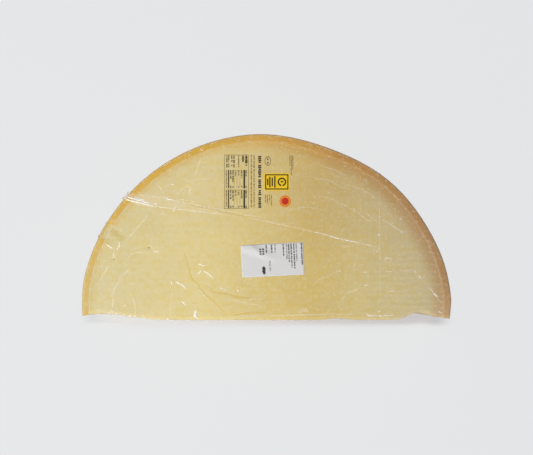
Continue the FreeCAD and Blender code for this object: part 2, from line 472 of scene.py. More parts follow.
def side_dimples(x, y, z):
    """The staggered dots pressed into the rind."""
    along = math.atan2(y, x) * WHEEL_RADIUS / DOT_PITCH
    row = round((z - LOWEST_DOTS) / DOT_PITCH)
    if not 0 <= row < DOT_ROWS:
        return 0.0
    column = along - 0.5 * (row % 2)
    across = (column - round(column)) * DOT_PITCH
    up = z - LOWEST_DOTS - row * DOT_PITCH
    return -DOT_DEPTH * bell(math.hypot(across, up), 1.5 * DOT_RADIUS)


def cheese_walls(x, y, z, on_front):
    """Relief of the side and of the broken, scaly front."""
    if not on_front:
        return side_dimples(x, y, z) + 0.15 * MM * ripple(math.atan2(y, x) * WHEEL_RADIUS, z, 18 * MM, 4.0)
    scales = 0.55 * MM * ripple(x, z, 9 * MM, 5.0) + 0.3 * MM * ripple(x, z, 4 * MM, 6.0)
    return scales - 0.35 * MM


# ---------------------------------------------------------------------------
# Shader expressions


class Link:
    """An output of a shader node. Arithmetic on it adds Math nodes."""

    def __init__(self, finish, socket):
        self.finish = finish
        self.socket = socket

    def math(self, operation, *others):
        return self.finish.node("Math", {"operation": operation}, dict(enumerate((self, *others))))

    def flipped(self, operation, other):
        return self.finish.node("Math", {"operation": operation}, {0: other, 1: self})

    def __add__(self, other):
        return self.math("ADD", other)

    def __sub__(self, other):
        return self.math("SUBTRACT", other)

    def __rsub__(self, other):
        return self.flipped("SUBTRACT", other)

    def __mul__(self, other):
        return self.math("MULTIPLY", other)

    def __truediv__(self, other):
        return self.math("DIVIDE", other)

    def __rtruediv__(self, other):
        return self.flipped("DIVIDE", other)

    def __pow__(self, other):
        return self.math("POWER", other)

    __radd__ = __add__
    __rmul__ = __mul__


class Finish:
    """A procedural material or world, written as expressions on its nodes' outputs."""

    COLOUR_A, COLOUR_B, COLOUR_OUT = 6, 7, 2

    def __init__(self, name, library="materials"):
        self.owner = getattr(bpy.data, library).new(name)
        self.owner.use_nodes = True
        self.tree = self.owner.node_tree
        self.tree.nodes.clear()

    def node(self, kind, settings=None, sockets=None, output=0):
        """Adds a node: its settings first, then the values or links of its sockets."""
        node = self.tree.nodes.new("ShaderNode" + kind)
        for key, value in (settings or {}).items():
            if key == "stops":
                self.set_stops(node.color_ramp.elements, value)
            else:
                setattr(node, key, value)
        for key, value in (sockets or {}).items():
            if isinstance(value, Link):
                self.tree.links.new(value.socket, node.inputs[key])
            else:
                node.inputs[key].default_value = value
        return Link(self, node.outputs[output]) if node.outputs else None

    @staticmethod
    def set_stops(elements, stops):
        while len(elements) < len(stops):
            elements.new(0.5)
        for element, (place, colour) in zip(elements, stops):
            element.position = place
            element.color = (*colour, 1)

    def place(self):
        """The three coordinates in the wheel's plan."""
        object_place = self.node("TexCoord", output="Object")
        plan = self.node("VectorMath", {"operation": "SUBTRACT"}, {0: object_place, 1: AXIS})
        return [self.node("SeparateXYZ", None, {0: plan}, axis) for axis in "XYZ"]

    def run(self):
        """How far along a run and across it, from 0 to 1, and how far from its middle line."""
        run = self.node("UVMap", {"uv_map": "run"})
        along, across = (self.node("SeparateXYZ", None, {0: run}, axis) for axis in "XY")
        return along, across, (across - 0.5).math("ABSOLUTE")

    def spot(self, x, y, z=0.0):
        """A texture vector made of plan coordinates."""
        return self.node("CombineXYZ", None, {0: x, 1: y, 2: z})

    def step(self, value, low, high):
        """A smooth slope from 0 at low to 1 at high."""
        settings = {"interpolation_type": "SMOOTHSTEP"}
        return self.node("MapRange", settings, {"Value": value, "From Min": low, "From Max": high})

    def fall(self, value, low, high):
        """A smooth slope from 1 at low to 0 at high."""
        return 1 - self.step(value, low, high)

    def grain(self, scale, detail, vector=None):
        """Noise from 0 to 1 with about scale bumps to the metre."""
        vector = vector or self.node("TexCoord", output="Object")
        return self.node("TexNoise", None, {"Vector": vector, "Scale": scale, "Detail": detail})

    def mix(self, share, first, second):
        """A colour between two colours."""
        colours = {0: share}
        for index, colour in ((self.COLOUR_A, first), (self.COLOUR_B, second)):
            colours[index] = colour if isinstance(colour, Link) else (*colour, 1)
        return self.node("Mix", {"data_type": "RGBA"}, colours, self.COLOUR_OUT)

    def shade(self, colour, brightness):
        """A colour made lighter or darker by a factor."""
        return self.node("VectorMath", {"operation": "SCALE"}, {0: colour, "Scale": brightness})

    def tint(self, colour, shares):
        """A colour with its red, green and blue each multiplied."""
        return self.node("VectorMath", {"operation": "MULTIPLY"}, {0: colour, 1: shares})

    def bump(self, height, distance, strength):
        return self.node("Bump", None, {"Height": height, "Distance": distance, "Strength": strength})

    def surface(self, **sockets):
        """Ends in one Principled shader, with names such as Base_Color for Base Color."""
        named = {}
        for key, value in sockets.items():
            is_colour = isinstance(value, tuple) and len(value) == 3
            named[key.replace("_", " ")] = (*value, 1) if is_colour else value
        return self.end(self.node("BsdfPrincipled", None, named))

    def end(self, shader, kind="OutputMaterial"):
        """Ends in an output, and returns the material or world."""
        self.node(kind, None, {"Surface": shader})
        return self.owner


def inside_rim(finish, x, y):
    """Distance inside the rim, and the angle round the side as a share of the half turn.

    On and near the front the angle is softened, so that colours change gradually along it.
    """
    soft = (0.1 - x.math("ABSOLUTE") * 0.5).math("MAXIMUM", 0.0)
    turn = y.math("MAXIMUM", soft).math("ARCTAN2", x) / math.pi
    flat = 0.0
    for middle, half_angle, depth in FLATS:
        away = (turn * 180 - middle).math("ABSOLUTE")
        flat = finish.fall(away, 0, half_angle) * depth + flat
    return WHEEL_RADIUS - flat - (x * x + y * y) ** 0.5, turn


def skin_depth(finish, inside, z, sizes):
    """Depth below the rind's outer face, on the side and the plate. The cuts don't count."""
    height = PASTE_LEVEL + sizes.rind_rise
    share = (height - z) / height
    from_side = inside - share * share * sizes.barrel_drop
    return finish.node("Math", {"operation": "SMOOTH_MIN"}, {0: from_side, 1: z, 2: sizes.plate_round})


def rind_colour(finish, turn, colours):
    """Colour of the rind along the round side, from the right end over the crown to the left end."""
    stops = (
        (0.0, colours.rind_end),
        (0.06, colours.rind_brown),
        (0.16, colours.rind_brown),
        (0.36, colours.rind_amber),
        (0.50, colours.rind_crown),
        (0.64, colours.rind_gold),
        (0.74, colours.rind_gold),
        (0.92, colours.rind_pale),
    )
    return finish.node("ValToRGB", {"stops": stops}, {0: turn})


# Shares of red, green and blue that are left where shade is painted on the paste, high on the right and by
# the broken rind, and where the paste has another tinge
FAR_SHADE_TINT = (0.91, 0.87, 0.85)
BACK_TINT = (1.0, 1.0, 1.07)
CHIP_SHADE_TINT = (0.86, 0.81, 0.54)
CURD_TINT = (1.0, 0.95, 0.74)


def paste_colour(finish, x, y, colours):
    """Colour of the paste, yellowest right of the middle, with painted shade that makes it darker and duller
    towards the right end and high on the right, away from the near lamp.
    """
    stops = (
        (0.06, colours.paste_left),
        (0.33, colours.paste),
        (0.62, colours.paste_heart),
        (0.80, colours.paste_dull_shaded),
        (0.95, colours.paste_right),
    )
    along = x / (2 * WHEEL_RADIUS) + 0.5
    paste = finish.node("ValToRGB", {"stops": stops}, {0: along})
    # Painted shade high on the right, away from the near lamp
    far = finish.step(y, 0.02, 0.17) * finish.step(x, -0.03, 0.08)
    paste = finish.mix(far, paste, finish.tint(paste, FAR_SHADE_TINT))
    return finish.mix(finish.step(y, 0.06, 0.15), paste, finish.tint(paste, BACK_TINT))


def chip_mask(finish, turn, inside, z):
    """1 where the rind is broken off and shows paste."""
    slant = (inside - 5 * MM) * (0.3 / (5 * MM))
    angle = (turn * 180 - CHIP_MIDDLE + slant).math("ABSOLUTE")
    along = finish.fall(angle, CHIP_HALF_ANGLE - 0.2, CHIP_HALF_ANGLE + 0.2)
    inner = finish.step(inside, 2.8 * MM, 3.6 * MM)
    return along * inner * finish.step(z, PASTE_LEVEL - 4 * MM, PASTE_LEVEL - 2 * MM)


def painted_shade_by_the_chip(finish, x, y):
    """1 in the middle of the painted shade, soft and yellower, that the film's fold throws inwards from the
    broken rind.
    """
    middle_x, middle_y, turn = -170.5 * MM, 98 * MM, math.radians(-43)
    along = (x - middle_x) * math.cos(turn) + (y - middle_y) * math.sin(turn)
    across = (y - middle_y) * math.cos(turn) - (x - middle_x) * math.sin(turn)
    away = ((along / (14 * MM)) ** 2 + (across / (5.5 * MM)) ** 2) ** 0.5
    return finish.fall(away, 0.25, 1.0)


def cheese_material(sizes, colours):
    finish = Finish("cheese")
    x, y, z = finish.place()
    inside, turn = inside_rim(finish, x, y)
    depth = skin_depth(finish, inside, z, sizes) + (finish.grain(120, 2) - 0.5) * (1.2 * MM)

    # The rind and its fade into the paste, with painted shade on the rim's left edge and by the broken rind
    rind = rind_colour(finish, turn, colours)
    paste = paste_colour(finish, x, y, colours)
    flake = chip_mask(finish, turn, inside, z)
    fade_reach = finish.step(turn, 0.25, 0.75) * (-12 * MM) + 30 * MM
    fade = finish.fall(depth / fade_reach, 0.25, 1.0) * (1 - flake * 0.8)
    paste = finish.mix(fade * (0.80 - finish.step(turn, 0.3, 0.9) * 0.28), paste, rind)
    colour = finish.mix(finish.fall(depth, 7.1 * MM, 8.6 * MM) * (1 - flake), paste, rind)
    # Painted shade: the outer edge of the rim is darkened on the left, just under the top
    brim = finish.fall(inside, 0.5 * MM, 1.6 * MM) * finish.step(turn, 0.66, 0.80)
    brim = brim * finish.step(z, PASTE_LEVEL - 7 * MM, PASTE_LEVEL - 2 * MM)
    colour = finish.shade(colour, 1 - brim * 0.40)
    # Painted shade of the film's fold, running inwards from the broken rind
    colour = finish.mix(painted_shade_by_the_chip(finish, x, y) * 0.8, colour, finish.tint(colour, CHIP_SHADE_TINT))

    # Painted shade along the wire's grooves, blotches, and the crumb of the front
    wander = (finish.grain(22, 1) - 0.5) * (11 * MM)
    wave = ((y + wander) * (2 * math.pi / WIRE_PITCH)).math("SINE")
    right_end = finish.step(x, 0.09, 0.16) * finish.fall(y, 0.06, 0.12)
    marks = wave * (right_end * 0.85 + 0.15) * 0.020
    blotch = (finish.grain(34, 3) - 0.5) * 0.10 + (finish.grain(9, 2) - 0.5) * 0.08
    below_top = finish.fall(z, PASTE_LEVEL - 4 * MM, PASTE_LEVEL - 1 * MM)
    on_front = finish.fall(y, 2 * MM, 12 * MM) * below_top
    crumb = (finish.grain(90, 4) - 0.5) * 0.30 * on_front
    colour = finish.shade(colour, 1 + marks + blotch + crumb)

    # Curd, crystals, and painted shade in the pits
    curd = finish.step(finish.grain(140, 5), 0.45, 0.60)
    colour = finish.mix(curd * 0.75, colour, finish.tint(colour, CURD_TINT))
    crystals = finish.step(finish.grain(300, 3, finish.spot(x, y, z + 0.3)), 0.54, 0.70)
    colour = finish.mix(crystals * 0.30, colour, tuple(colours.crystal))
    for pit_x, pit_y, radius in PITS:
        away = ((x - pit_x) ** 2 + (y - pit_y) ** 2) ** 0.5
        colour = finish.mix(finish.fall(away, 0.4 * radius, radius) * 0.8, colour, tuple(colours.pit_shade))

    grit = finish.grain(420, 4) + wave * 0.15 + finish.grain(110, 4) * on_front * 5
    normal = finish.bump(grit, 0.25 * MM, 0.5)
    return finish.surface(Base_Color=colour, Roughness=0.55, Normal=normal)


def ring(finish, inside, place, half_width):
    """A soft line all round the top at a distance inside the rim."""
    return finish.fall((inside - place).math("ABSOLUTE"), 0.1 * half_width, half_width)


# White of the loose film and of its painted highlight lines
FILM_HAZE_AND_HIGHLIGHT = srgb(246, 246, 244)


def film_material(sizes, look):
    """Clear film: a thin cover that mirrors the sky, milky where it lies loose, and with painted highlight
    lines along the rind's inner edge, near the rim and at the outer edge.
    """
    finish = Finish("film")
    x, y, z = finish.place()
    inside, turn = inside_rim(finish, x, y)
    on_top = finish.step(z, PASTE_LEVEL - 3 * MM, PASTE_LEVEL - 1 * MM)
    patchy = finish.grain(46, 3)
    dashes = finish.step(finish.grain(260, 1, finish.spot(turn * 0.6, inside)), 0.50, 0.60)
    left = finish.step(turn, 0.50, 0.94) * 0.50
    right = finish.fall(turn, 0.14, 0.42) * finish.step(turn, 0.03, 0.10) * 0.20
    # Painted highlight lines, partly milky film that stands off: along the rind's inner edge, in dashes near
    # the rim and at the outer edge
    seam_haze_and_highlight = ring(finish, inside, sizes.rind_width + 0.9 * MM, 0.9 * MM)
    seam_haze_and_highlight = seam_haze_and_highlight * (patchy * 0.5 + 0.02) * (left + right + 0.11)
    upper_left = finish.step(turn, 0.52, 0.60) * finish.fall(turn, 0.72, 0.78)
    rim_highlight_dashes = ring(finish, inside, 2.1 * MM, 0.7 * MM) * dashes * (upper_left * 0.4 + 0.05)
    crown = finish.step(turn, 0.12, 0.25) * finish.fall(turn, 0.48, 0.58)
    edge_haze_and_highlight = ring(finish, inside, 1.4 * MM, 1.3 * MM) * (crown * 0.08 + 0.06)
    sides = finish.step(0 - x, 0.06, 0.19) + finish.step(x, 0.06, 0.20) * 0.5
    low = 1 - finish.step(y, 0.03, 0.12) * 0.65
    milk_and_highlights = (seam_haze_and_highlight + rim_highlight_dashes + edge_haze_and_highlight) * on_top + sides * low * patchy * look.haze
    cover = finish.node("Math", {"operation": "ADD", "use_clamp": True}, {0: milk_and_highlights, 1: look.cover})
    streaks = finish.grain(180, 3, finish.spot(x * 0.35, y, z))
    normal = finish.bump(streaks, 0.35 * MM, 0.5)
    return finish.surface(
        Base_Color=FILM_HAZE_AND_HIGHLIGHT,
        Metallic=finish.fall(milk_and_highlights, 0.02, 0.12),
        Roughness=look.roughness,
        Alpha=cover,
        Normal=normal,
    )


def crease_material(name, look, colour, strength, dashes):
    """Stretched film: whiter and less clear along its middle, and broken up along its length. The white is
    partly the film's own and partly painted highlight, wholly painted on the bright folds and glints.
    """
    finish = Finish(name)
    along, _, off_middle = finish.run()
    middle = finish.fall(off_middle, 0.15, 0.5)
    broken = finish.step(finish.grain(230, 1), 0.42, 0.58)
    ends = finish.step(along, 0.0, 0.12) * finish.fall(along, 0.88, 1.0)
    cover = middle * (broken * dashes + (1 - dashes)) * ends * (look.crease_cover * strength)
    cover = cover.math("MINIMUM", 0.96)
    return finish.surface(Base_Color=tuple(colour), Roughness=0.25, Alpha=cover)


def pleat_material(look):
    """A wide gathered fold: milky where it starts at the rim, and streaked along its length."""
    finish = Finish("film_pleats")
    along, across, off_middle = finish.run()
    streaks = finish.step(finish.grain(5, 3, finish.spot(along * 3, across * 2.2)), 0.40, 0.66)
    start = finish.fall(along, 0.08, 0.27)
    edges = finish.step(off_middle, 0.36, 0.46)
    inside = finish.fall(off_middle, 0.47, 0.5)
    root = finish.fall(along, 0.05, 0.12)
    body = streaks * (start * 0.50 + 0.10) + start * 0.30 + root * 0.55 + 0.07 + edges * 0.22
    cover = body.math("MINIMUM", 0.95) * inside * finish.fall(along, 0.8, 1.0)
    return finish.surface(Base_Color=tuple(look.crease_white_and_highlight), Roughness=0.22, Alpha=cover)


def plain_material(name, colour, roughness, mottle, cover=1.0):
    """A printed or paper finish: one colour with a little grain."""
    finish = Finish(name)
    grain = finish.grain(300, 3)
    base = finish.mix(grain * mottle, tuple(colour), (1.0, 1.0, 1.0))
    return finish.surface(
        Base_Color=base,
        Roughness=roughness,
        Specular_IOR_Level=0.15,
        Normal=finish.bump(grain, 0.05 * MM, 0.3),
        Alpha=cover,
    )


# ---------------------------------------------------------------------------
# Film details


def film_height(shape, x, y):
    """Height of the film's outside on the top."""
    return shape.top_height(x, y) + film_relief(x, y)


def film_relief(x, y):
    """Slack of the film on the top."""
    return 0.10 * MM * ripple(x, y, 30 * MM, 7.0) + 0.06 * MM * ripple(x, y, 9 * MM, 8.0)


def film_walls(x, y, z, on_front):
    """Slack of the film on the side and the front, drawn into upright folds."""
    along = x if on_front else math.atan2(y, x) * WHEEL_RADIUS
    return 0.30 * MM * ripple(along, z * 0.35, 14 * MM, 9.0) + 0.05 * MM


def smooth_run(points, samples):
    """Evenly spread samples of a smooth curve through a few given points."""
    padded = [2 * points[0] - points[1], *points, 2 * points[-1] - points[-2]]
    run = []
    for i in range(samples + 1):
        place = i / samples * (len(points) - 1)
        span = min(int(place), len(points) - 2)
        t = place - span
        before, start, end, after = padded[span : span + 4]
        run.append(
            0.5
            * (
                2 * start
                + (end - before) * t
                + (2 * before - 5 * start + 4 * end - after) * t**2
                + (3 * start - before - 3 * end + after) * t**3
            )
        )
    return run


def on_wrap(shape, face, first, second):
    """A point of the wrapped outside and the way out of it. The face is top, side or front."""
    if face == "top":
        return Vector((first, second, film_height(shape, first, second))), UP
    if face == "side":
        angle = math.radians(first)
        radius = shape.side_radius(second) - flat_depth(first)
        out = Vector((math.cos(angle), math.sin(angle), 0))
        return out * radius + UP * second, out
    return Vector((first, shape.front_line(first, second), second)), Vector((0, -1, 0))


def place_on_run(shape, face, run, i, across, half_width):
    """A point beside the i-th sample of a run, and the way out of the film there."""
    before = run[max(i - 1, 0)]
    after = run[min(i + 1, len(run) - 1)]
    start, _ = on_wrap(shape, face, *before)
    end, _ = on_wrap(shape, face, *after)
    foot, out = on_wrap(shape, face, *run[i])
    side = (end - start).cross(out).normalized()
    return foot + side * (across * half_width), out


FOLD_LIFT = 0.06 * MM  # keeps the edges of a fold clear of the film
RUN_STEP = 2.2 * MM
BAND_STEPS = 60


def add_ridge(shell, uv_layer, shape, face, points, width, height):
    """Lays a thin strip of grid along a run, raised along its middle, as a crease of the film."""
    feet = [on_wrap(shape, face, *point)[0] for point in points]
    length = sum((b - a).length for a, b in zip(feet, feet[1:]))
    samples = max(6, int(length / RUN_STEP))
    run = smooth_run(points, samples)
    strip = bmesh.ops.create_grid(shell, x_segments=samples, y_segments=4, size=1)["verts"]
    for vertex in strip:
        share = (vertex.co.x + 1) / 2
        across = vertex.co.y
        taper = math.sin(math.pi * min(max(share, 0.02), 0.98)) ** 0.5
        i = round(share * samples)
        spot, out = place_on_run(shape, face, run, i, across, taper * width / 2)
        rise = FOLD_LIFT + height * taper * (1 - across**2)
        wobble = 0.2 * width * ripple(spot.x, spot.y + spot.z, 7 * MM, 11.0)
        vertex.co = AXIS + spot + Vector((wobble, wobble, 0)) + out * rise
        for loop in vertex.link_loops:
            loop[uv_layer].uv = (share, (across + 1) / 2)


def add_band(shell, uv_layer, shape, face, first_line, second_line, rise):
    """Lays a wide sheet between two lines of the film, gathered into long soft folds."""
    first_run = smooth_run(first_line, BAND_STEPS)
    second_run = smooth_run(second_line, BAND_STEPS)
    sheet = bmesh.ops.create_grid(shell, x_segments=BAND_STEPS, y_segments=16, size=1)["verts"]
    for vertex in sheet:
        share = (vertex.co.x + 1) / 2
        across = (vertex.co.y + 1) / 2
        i = round(share * BAND_STEPS)
        spot = first_run[i].lerp(second_run[i], across)
        foot, out = on_wrap(shape, face, *spot)
        swell = 0.35 + 0.65 * abs(2 * across - 1) ** 2
        border = min(1.0, 8 * across, 8 * (1 - across))
        gather = 0.3 * ripple(share * 2, across * 5, 1.0, 12.0)
        lift = FOLD_LIFT + rise * border * (1 - 0.6 * share) * (swell + gather)
        vertex.co = AXIS + foot + out * lift
        for loop in vertex.link_loops:
            loop[uv_layer].uv = (share, across)


def in_metres(points):
    return [Vector((x * MM, y * MM)) for x, y in points]


# Creases of the film on the top, as (points, width, height), all in millimetres; their white is partly
# whitened film and partly painted highlight
FAINT_CREASES = (
    (((-74, 189), (-78, 177), (-82, 164)), 1.5, 0.045),
    (((-127, 159.5), (-121, 151), (-115, 143)), 1.5, 0.05),
    (((-104, 143.5), (-96, 151.5), (-84, 155.5)), 1.4, 0.045),
    (((-96, 158.5), (-79, 161.5), (-63, 162)), 1.2, 0.03),
    (((-87, 154.5), (-87, 144.5)), 1.6, 0.045),
    (((-132.5, 126), (-140.5, 115), (-150, 104), (-165, 87.5)), 1.6, 0.05),
    (((-176, 68.5), (-183, 58.5), (-189, 49.5), (-191, 44.5)), 1.7, 0.06),
    (((-161, 67.5), (-155, 75), (-147, 78.4), (-137, 78)), 1.3, 0.035),
    (((-154, 62.5), (-165, 50.5), (-175, 34), (-178, 26)), 1.6, 0.05),
    (((-174, 27), (-176, 21), (-176.5, 6)), 1.4, 0.04),
    (((-156, 32), (-151, 19), (-149.6, 4)), 1.5, 0.05),
    (((-52, 27), (-24, 20), (1, 16.5)), 1.3, 0.035),
    (((-25, 24.5), (-12, 24), (2, 24.5)), 1.4, 0.03),
    (((131.5, 118.5), (146, 108.5), (161.5, 98)), 1.6, 0.05),
    (((115.5, 123.5), (126, 114)), 1.5, 0.05),
    (((84, 20), (95, 32), (101, 33.5), (110, 39.5)), 1.6, 0.05),
    (((-28, 120.5), (0, 114), (27, 108), (63.5, 99.8)), 1.6, 0.06),
    (((52, 102.3), (63, 100), (81, 95), (99, 91), (129, 84)), 1.8, 0.07),
    (((-157, 146), (-117, 141), (-96, 136), (-31, 123), (4, 116)), 1.6, 0.06),
    (((-141, 132), (-105, 128), (-71, 124), (-41, 121)), 1.5, 0.05),
    (((-40, 4.6), (-14, 4.9), (30, 5.8), (70, 7), (116, 6.6)), 1.6, 0.04),
)
HAIRLINES = (
    (((-84, 47), (-71, 29), (-44, 5)), 1.3, 0.045),
    (((150, 57), (167, 57), (174, 54), (178, 48.5)), 1.3, 0.04),
    (((50, 147), (63.5, 142.5), (74.5, 140), (97.5, 129), (110, 121), (117, 115), (129, 113.5)), 1.4, 0.05),
    (((100, 153), (107, 151), (114, 149.5), (130, 136.5)), 1.4, 0.04),
    (((60, 179), (72, 175), (81, 172.5), (95, 164.5)), 1.3, 0.035),
    (((40, 168), (63.5, 162.5), (72, 161), (91, 151.5), (100, 150)), 1.3, 0.035),
    (((11, 122), (34, 128), (51, 130), (72, 125)), 1.3, 0.035),
    (((48, 27), (59, 45), (84, 56)), 1.3, 0.035),
    (((131.5, 164), (131, 111), (131.5, 60), (131.5, 9)), 1.5, 0.045),
    (((-109, 48), (-109, 26), (-110, 4)), 1.3, 0.03),
    (((36, 8), (43, 11.5), (50, 10)), 7.0, 0.1),
)
# Painted highlights where folds catch the lamp
BRIGHT_CREASES = (
    (((43, 104.4), (63, 100), (81, 95), (99, 91), (109, 89)), 1.6, 0.6),
    (((111, 88), (120, 86), (129, 84)), 1.2, 0.4),
    (((-133, 80), (-126, 79.4), (-118, 78.6)), 1.4, 0.5),
    (((110, 39.5), (117, 40.2), (124, 40)), 1.3, 0.45),
    (((107, 55), (112, 55.4), (118, 55.7)), 1.2, 0.35),
    (((123, 56.2), (133, 57)), 1.2, 0.35),
    (((136.5, 56), (146, 56.4)), 1.3, 0.35),
    (((149.5, 57), (158, 57.4), (168, 57.2)), 1.4, 0.4),
    (((188, 38), (192, 33), (198, 25), (203, 19)), 1.7, 0.6),
    (((137.5, 33), (146, 33.4), (156, 33)), 1.2, 0.4),
    (((135.5, 71), (141, 71.5), (147, 71)), 1.2, 0.4),
    (((116, 6), (132, 5), (148, 6)), 1.4, 0.4),
    (((197, 11), (204, 8)), 2.0, 0.6),
    (((-185.5, 88), (-181, 86), (-175, 81.5)), 2.0, 0.6),
    (((-176.5, 80), (-175, 76), (-175.5, 70)), 1.9, 0.6),
    (((-101, 139.6), (-92, 138.4), (-80, 135.5)), 1.4, 0.5),
    (((-100, 132), (-104.3, 129.5), (-105, 127.5), (-108, 122.5)), 1.5, 0.5),
    (((-75.6, 198), (-73.5, 195.8), (-71, 194.6)), 1.8, 0.6),
    (((129.6, 101.5), (130, 97)), 1.8, 0.5),
    (((129, 88), (131, 84.5)), 2.2, 0.6),
    (((126, 79.5), (130.5, 79.5)), 1.8, 0.5),
    (((153.5, 116), (157.5, 116.5)), 1.8, 0.4),
    (((164.3, 102), (168, 103)), 1.8, 0.4),
)
# Painted highlights: glints of the lamp on the film's folds
GLINTS = (
    (((-104.5, 44.5), (-96, 41), (-91, 36)), 2.1, 0.8),
    (((-97, 23), (-93, 18.5), (-89.5, 18)), 2.0, 0.8),
    (((-71.7, 56.5), (-65.5, 53), (-59, 47.5)), 1.9, 0.7),
    (((-78, 65), (-74, 64), (-70, 62)), 1.6, 0.6),
    (((-79.5, 53), (-76, 55), (-73, 58)), 1.4, 0.5),
    (((-53, 37.5), (-45, 34.5)), 1.4, 0.5),
    (((-33, 36), (-31, 33)), 1.4, 0.5),
    (((-79, 12), (-81.5, 6), (-77, 0.5)), 4.0, 0.9),
    (((-108, 157), (-106, 156.5)), 2.2, 0.6),
    (((-108.6, 45.5), (-107.4, 41)), 1.8, 0.6),
    (((-163.4, 18), (-161, 15.5)), 1.9, 0.5),
    (((176, 52), (179, 47.5)), 1.8, 0.7),
    (((193, 32), (197, 26.5)), 2.1, 0.8),
    (((79, 95.5), (85, 94)), 1.8, 0.8),
    (((91, 92.7), (100, 90.9)), 2.0, 0.9),
    (((-114.5, 141.5), (-111.5, 139.4), (-104.5, 137.7)), 1.9, 0.6),
    (((-169.5, 90), (-168, 87), (-171, 80.5)), 1.7, 0.6),
    (((-160, 141.5), (-152, 140), (-141, 137), (-133, 134)), 2.9, 0.9),
    (((-162, 139), (-150, 136.5), (-138, 133.5), (-128, 131.5)), 2.4, 0.8),
    (((-152, 142), (-145, 140), (-138, 138)), 1.6, 0.6),
    (((-129, 135), (-124, 133)), 1.8, 0.7),
    (((84, 57.5), (85.6, 56.6)), 1.8, 0.5),
    (((129.5, 10.6), (131.5, 9.6)), 1.8, 0.5),
    (((116, 7), (121.5, 4.4)), 1.8, 0.5),
    (((129.5, 6.2), (133.5, 4.4)), 1.8, 0.5),
    (((136.5, 6.2), (140, 4.4)), 1.6, 0.5),
    (((144, 6), (146.5, 5)), 1.8, 0.6),
)
# Sparks of light on the rounded edge of the cut, as (place along the cut, width), all in millimetres
SPARK_REACH = 1.6
SPARK_INSET = 1.6
SPARK_HEIGHT = 0.4
EDGE_SPARKS = (
    (-181, 1.4),
    (-171.5, 1.8),
    (-162.5, 1.4),
    (-156.5, 1.8),
    (-150.5, 2.0),
    (-141, 1.2),
    (-123, 1.6),
    (-112.5, 2.2),
)
# Strips of painted shade at the foot of folds, as (points, width, height), all in millimetres
FOLD_SHADES = (
    (((-96, 134.2), (-70, 129.4), (-31, 121.2), (2, 114.6)), 3.2, 0.02),
    (
        ((-94.7, 79.5), (-89.7, 64.6), (-85.7, 49.8), (-77.8, 39.9), (-69.9, 30.5), (-52, 13), (-42, 4)),
        3.4,
        0.0,
    ),
    (((-63.5, 39), (-60.5, 33.5), (-47, 30.5), (-32, 27), (-14, 24), (6, 23)), 3.8, 0.0),
    (((-40, 5.2), (-20, 8.4), (2, 9.4)), 3.0, 0.0),
)
# Lines between which a sheet of film is gathered, on the top in millimetres
WIDE_PLEAT = (
    ((-160.4, 143.6), (-155, 146), (-117, 141), (-96, 136), (-52, 127), (-20, 120)),
    ((-163.6, 140), (-159, 138), (-141, 132), (-105, 128), (-71, 124), (-20, 119)),
)
WIDE_PLEAT_RISE = 1.1
# The same on the side, as two lines of (angle in degrees, height) and the rise, in millimetres
SIDE_BANDS = (
    (((139.9, 93.5), (139.4, 60), (138.2, 31)), ((136.6, 93.5), (136.6, 60), (137.2, 31)), 2.8),
    (((154.0, 92), (152.6, 76), (151.4, 60)), ((148.0, 92), (149.6, 76), (150.6, 60)), 1.3),
)
SIDE_TOP = 92 * MM
FRONT_TOP = 90 * MM
SIDE_CREASES = 30
FRONT_CREASES = 16
WALL_CREASE_WIDTH = 1.8 * MM
WALL_CREASE_HEIGHT = 0.7 * MM


def on_top(creases):
    """Rows of (points, width, height) in millimetres, as (face, points, width, height) in metres."""
    return [("top", in_metres(points), width * MM, height * MM) for points, width, height in creases]


def edge_sparks(shape):
    """Sparks of light along the cut's edge, as (face, points, width, height)."""
    sparks = []
    for x, width in EDGE_SPARKS:
        line = shape.front_line(x * MM, shape.brim) / MM + SPARK_INSET
        points = ((x - SPARK_REACH, line + 0.3), (x + SPARK_REACH, line))
        sparks.append((points, width, SPARK_HEIGHT))
    return on_top(sparks)


def falling_run(place, top, length, lean):
    """A slightly bent run down a wall from the film's edge."""
    drops = ((0, 0), (0.4 * lean, length / 2), (lean, length))
    return [Vector((place + aside, top - drop)) for aside, drop in drops]


def wall_creases():
    """Thin folds down the side and the front, as (face, points, width, height)."""
    dice = random.Random(11)
    runs = []
    for i in range(SIDE_CREASES):
        angle = 6 + 168 * (i + dice.uniform(0.2, 0.8)) / SIDE_CREASES
        length = dice.uniform(14, 62) * MM
        runs.append(("side", falling_run(angle, SIDE_TOP, length, dice.uniform(-3, 3))))
    for i in range(FRONT_CREASES):
        x = WHEEL_RADIUS * (-0.88 + 1.76 * (i + dice.uniform(0.2, 0.8)) / FRONT_CREASES)
        length = dice.uniform(12, 58) * MM
        runs.append(("front", falling_run(x, FRONT_TOP, length, dice.uniform(-7, 7) * MM)))
    runs.append(("side", [Vector((angle, SIDE_TOP)) for angle in (45, 39.5, 34)]))
    for x, lean in ((-112, -10), (133, 9)):
        runs.append(("front", in_metres(((x, 91), (x + lean / 3, 68), (x + lean, 42)))))
    return [(face, points, WALL_CREASE_WIDTH, WALL_CREASE_HEIGHT) for face, points in runs]


# ---------------------------------------------------------------------------
# Print

PRINT_LEVEL = PASTE_LEVEL + 0.28 * MM
LAYER = 0.05 * MM
CELL = 3.0  # length of the faces that a bar is cut into, in millimetres


